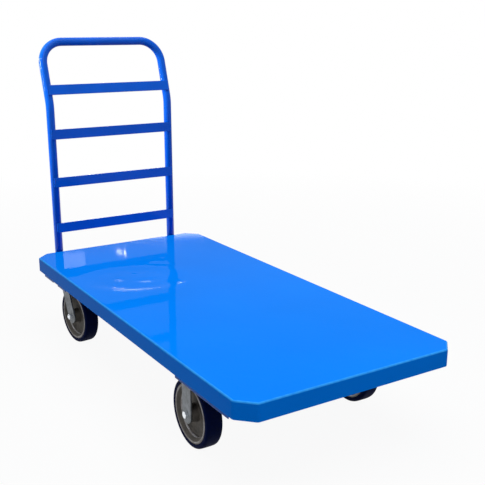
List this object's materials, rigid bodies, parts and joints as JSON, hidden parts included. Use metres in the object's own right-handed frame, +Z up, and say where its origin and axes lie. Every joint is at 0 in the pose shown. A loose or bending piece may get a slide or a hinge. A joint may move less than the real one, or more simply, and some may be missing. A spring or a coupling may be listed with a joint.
{
  "type": "platform cart",
  "caption": "Flat steel platform cart: folded deck pan with cut corners on rigid and swivel casters, with a bent-tube push handle with rungs that lifts out of its sockets.",
  "frame": {"origin": "on the floor, under the middle of the cart's overall box", "axes": "+X along the deck, away from the handle; +Y to the left of a person who pushes; +Z up"},
  "size_m": [1.6312, 0.711, 1.1072],
  "materials": {
    "deck_paint": "bright blue gloss powder coat",
    "handle_paint": "bright blue gloss powder coat",
    "zinc": "dull zinc plate",
    "bright_zinc": "bright zinc plate",
    "bearing_steel": "ground steel",
    "wheel_core": "grey paint over cast iron, machined rim",
    "tread": "smooth dark moulded tread"
  },
  "bodies": {
    "deck": {"deck_pan": "deck_paint", "front_cradle": "deck_paint", "rear_cradle": "deck_paint", "front_side_plates": "deck_paint", "rear_side_plates": "deck_paint", "rib_left": "deck_paint", "rib_right": "deck_paint", "end_channel": "deck_paint", "nose_channel": "deck_paint", "socket_left": "deck_paint", "socket_right": "deck_paint", "socket_stops": "deck_paint", "rigid_plate_left": "zinc", "rigid_plate_right": "zinc", "rigid_fork_left": "zinc", "rigid_fork_right": "zinc", "swivel_plate_left": "zinc", "swivel_plate_right": "zinc", "kingpins": "bright_zinc", "kingpin_nuts": "bright_zinc", "front_plate_bolts": "bright_zinc", "front_plate_nuts": "bright_zinc", "rear_plate_bolts": "bright_zinc", "rear_plate_nuts": "bright_zinc", "front_axle_bolts": "bright_zinc", "front_axle_nuts": "bright_zinc", "front_bushes": "bright_zinc", "front_thrust_washers": "bright_zinc"},
    "handle": {"handle_tube": "handle_paint", "rung_1": "handle_paint", "rung_2": "handle_paint", "rung_3": "handle_paint", "rung_4": "handle_paint"},
    "swivel_left": {"swivel_fork_left": "zinc", "race_balls_left": "bearing_steel", "rear_axle_bolt_left": "bright_zinc", "rear_axle_nut_left": "bright_zinc", "rear_bush_left": "bright_zinc", "rear_thrust_washers_left": "bright_zinc"},
    "swivel_right": {"swivel_fork_right": "zinc", "race_balls_right": "bearing_steel", "rear_axle_bolt_right": "bright_zinc", "rear_axle_nut_right": "bright_zinc", "rear_bush_right": "bright_zinc", "rear_thrust_washers_right": "bright_zinc"},
    "wheel_front_left": {"front_left_wheel": "wheel_core", "front_left_tread": "tread", "front_left_rollers": "bearing_steel"},
    "wheel_front_right": {"front_right_wheel": "wheel_core", "front_right_tread": "tread", "front_right_rollers": "bearing_steel"},
    "wheel_rear_left": {"rear_left_wheel": "wheel_core", "rear_left_tread": "tread", "rear_left_rollers": "bearing_steel"},
    "wheel_rear_right": {"rear_right_wheel": "wheel_core", "rear_right_tread": "tread", "rear_right_rollers": "bearing_steel"}
  },
  "joints": [
    {"name": "handle_lift", "type": "slide", "parent": "deck", "child": "handle", "axis": [0, 0, 1], "range_m": [0, 0.12]},
    {"name": "swivel_left_turn", "type": "hinge", "parent": "deck", "child": "swivel_left", "pos_m": [-0.5164, 0.2795, 0.22], "axis": [0, 0, 1], "continuous": true},
    {"name": "swivel_right_turn", "type": "hinge", "parent": "deck", "child": "swivel_right", "pos_m": [-0.5164, -0.2795, 0.22], "axis": [0, 0, 1], "continuous": true},
    {"name": "front_left_roll", "type": "hinge", "parent": "deck", "child": "wheel_front_left", "pos_m": [0.4576, 0.2795, 0.1016], "axis": [0, 1, 0], "continuous": true},
    {"name": "front_right_roll", "type": "hinge", "parent": "deck", "child": "wheel_front_right", "pos_m": [0.4576, -0.2795, 0.1016], "axis": [0, 1, 0], "continuous": true},
    {"name": "rear_left_roll", "type": "hinge", "parent": "swivel_left", "child": "wheel_rear_left", "pos_m": [-0.46473, 0.2853, 0.1016], "axis": [-0.1115, 0.9938, 0], "continuous": true},
    {"name": "rear_right_roll", "type": "hinge", "parent": "swivel_right", "child": "wheel_rear_right", "pos_m": [-0.46473, -0.2737, 0.1016], "axis": [-0.1115, 0.9938, 0], "continuous": true}
  ]
}
